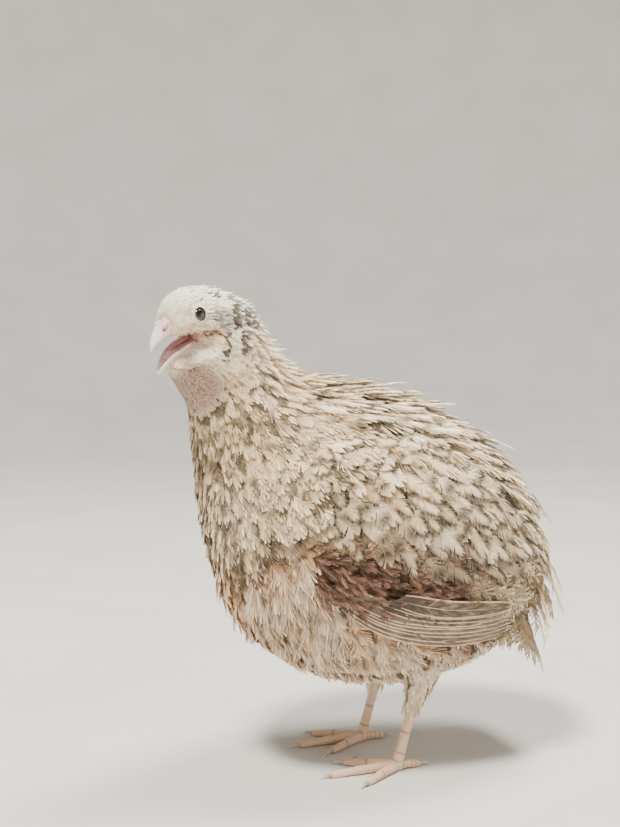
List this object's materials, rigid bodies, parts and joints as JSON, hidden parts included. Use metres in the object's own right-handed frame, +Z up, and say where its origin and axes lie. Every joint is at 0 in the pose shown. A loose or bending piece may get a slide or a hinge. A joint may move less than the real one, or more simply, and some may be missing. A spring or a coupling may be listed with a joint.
{
  "type": "coturnix quail",
  "caption": "Life-size still model of a standing coturnix quail with ruffled pale plumage, its head turned to its left and its bill open.",
  "frame": {"origin": "on the floor, under the middle of the bird's bounding box", "axes": "+Z up, the bird faces -X, its left side is towards -Y"},
  "size_m": [0.1597, 0.0911, 0.175],
  "materials": {
    "plumage": "cream contour feathers with brown streaks, matt and soft",
    "flight_feathers": "grey-brown flight feathers with cream bars and edges",
    "horn": "pale horn, satin",
    "mouth": "moist pink mouth skin",
    "eye": "dark wet eye",
    "leg_skin": "pale flesh-coloured scaled skin"
  },
  "bodies": {
    "root": {"head": "plumage", "neck": "plumage", "torso": "plumage", "tail": "flight_feathers", "wing_left": "plumage", "wing_right": "plumage", "bill_upper": "horn", "bill_lower": "horn", "tongue": "mouth", "eye_left": "eye", "eye_right": "eye", "thigh_left": "plumage", "thigh_right": "plumage", "shank_left": "leg_skin", "shank_right": "leg_skin", "foot_left": "leg_skin", "foot_right": "leg_skin", "claw_inner_left": "horn", "claw_middle_left": "horn", "claw_outer_left": "horn", "claw_hind_left": "horn", "claw_inner_right": "horn", "claw_middle_right": "horn", "claw_outer_right": "horn", "claw_hind_right": "horn"}
  },
  "joints": []
}
